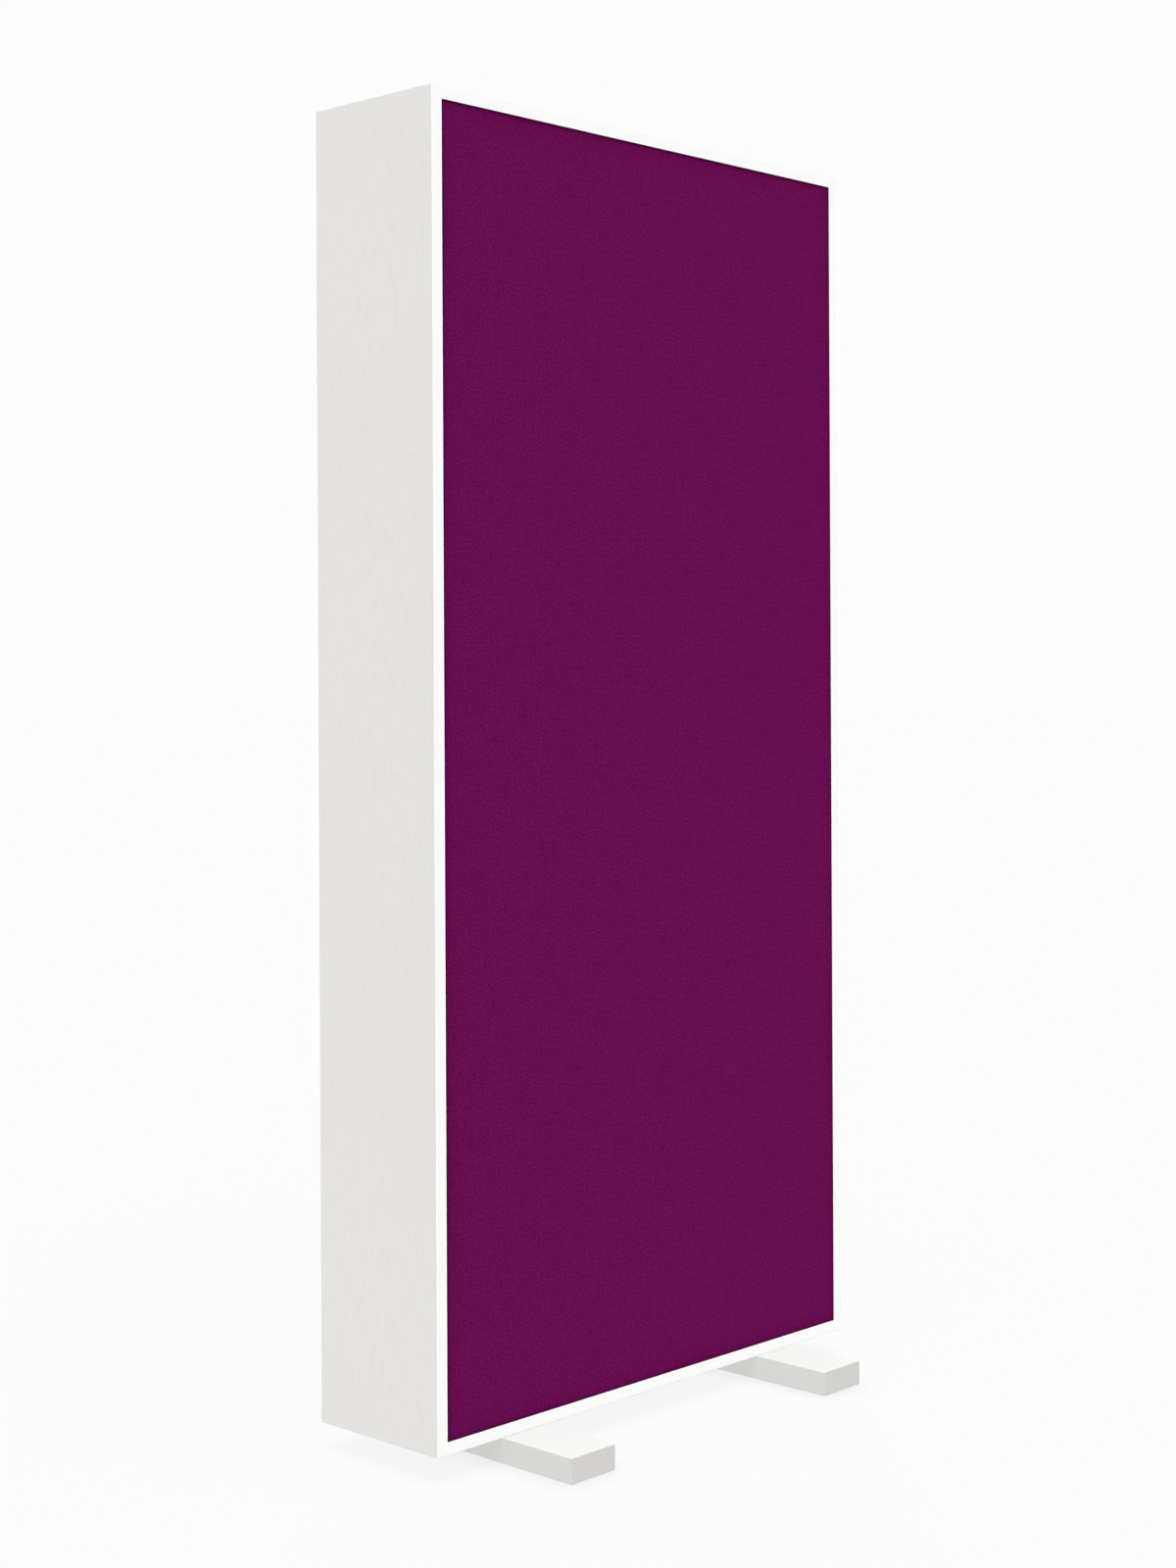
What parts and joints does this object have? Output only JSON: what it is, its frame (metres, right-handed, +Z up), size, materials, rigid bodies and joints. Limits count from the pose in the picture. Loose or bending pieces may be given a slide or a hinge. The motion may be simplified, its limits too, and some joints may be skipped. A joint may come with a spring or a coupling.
{
  "type": "gobo panel",
  "caption": "Free-standing acoustic gobo panel: a tall white board frame holding flush fabric-covered absorbers, standing on flat wooden feet.",
  "frame": {"origin": "on the floor, under the middle of the box", "axes": "+Z up, X along the panel's width, the front face looks to -Y and the back face to +Y"},
  "size_m": [0.573, 0.326, 1.224],
  "materials": {
    "white_lacquered_wood": "white satin lacquer over faint grain",
    "planed_softwood": "planed, unfinished",
    "beech_tongue": "planed, glued in",
    "septum_fibreboard": "unfinished fibreboard",
    "zinc_plated_steel": "bright zinc plate",
    "black_rubber": "matt",
    "magenta_fabric": "plain woven, matt",
    "black_scrim": "thin non-woven backing",
    "mineral_wool": "semi-rigid slab, fibrous",
    "white_nylon": "moulded, matt"
  },
  "bodies": {
    "root": {"side_board_left": "white_lacquered_wood", "side_board_right": "white_lacquered_wood", "top_board": "white_lacquered_wood", "bottom_board": "white_lacquered_wood", "foot_left": "white_lacquered_wood", "foot_right": "white_lacquered_wood", "cleat_front_left": "planed_softwood", "cleat_front_right": "planed_softwood", "cleat_front_bottom": "planed_softwood", "cleat_front_top": "planed_softwood", "cleat_back_left": "planed_softwood", "cleat_back_right": "planed_softwood", "cleat_back_bottom": "planed_softwood", "cleat_back_top": "planed_softwood", "front_stile_left": "planed_softwood", "front_stile_right": "planed_softwood", "front_rail_bottom": "planed_softwood", "front_rail_middle": "planed_softwood", "front_rail_top": "planed_softwood", "back_stile_left": "planed_softwood", "back_stile_right": "planed_softwood", "back_rail_bottom": "planed_softwood", "back_rail_middle": "planed_softwood", "back_rail_top": "planed_softwood", "mitre_tongues": "beech_tongue", "septum_board": "septum_fibreboard", "cleat_brads": "zinc_plated_steel", "foot_bolts": "zinc_plated_steel", "foot_washers": "zinc_plated_steel", "tee_nuts": "zinc_plated_steel", "front_staples": "zinc_plated_steel", "back_staples": "zinc_plated_steel", "foot_pads": "black_rubber", "front_fabric": "magenta_fabric", "back_fabric": "magenta_fabric", "front_scrim": "black_scrim", "back_scrim": "black_scrim", "front_wool_lower": "mineral_wool", "front_wool_upper": "mineral_wool", "back_wool_lower": "mineral_wool", "back_wool_upper": "mineral_wool", "front_clip_arrows": "white_nylon", "front_clip_catches": "white_nylon", "back_clip_arrows": "white_nylon", "back_clip_catches": "white_nylon"}
  },
  "joints": []
}
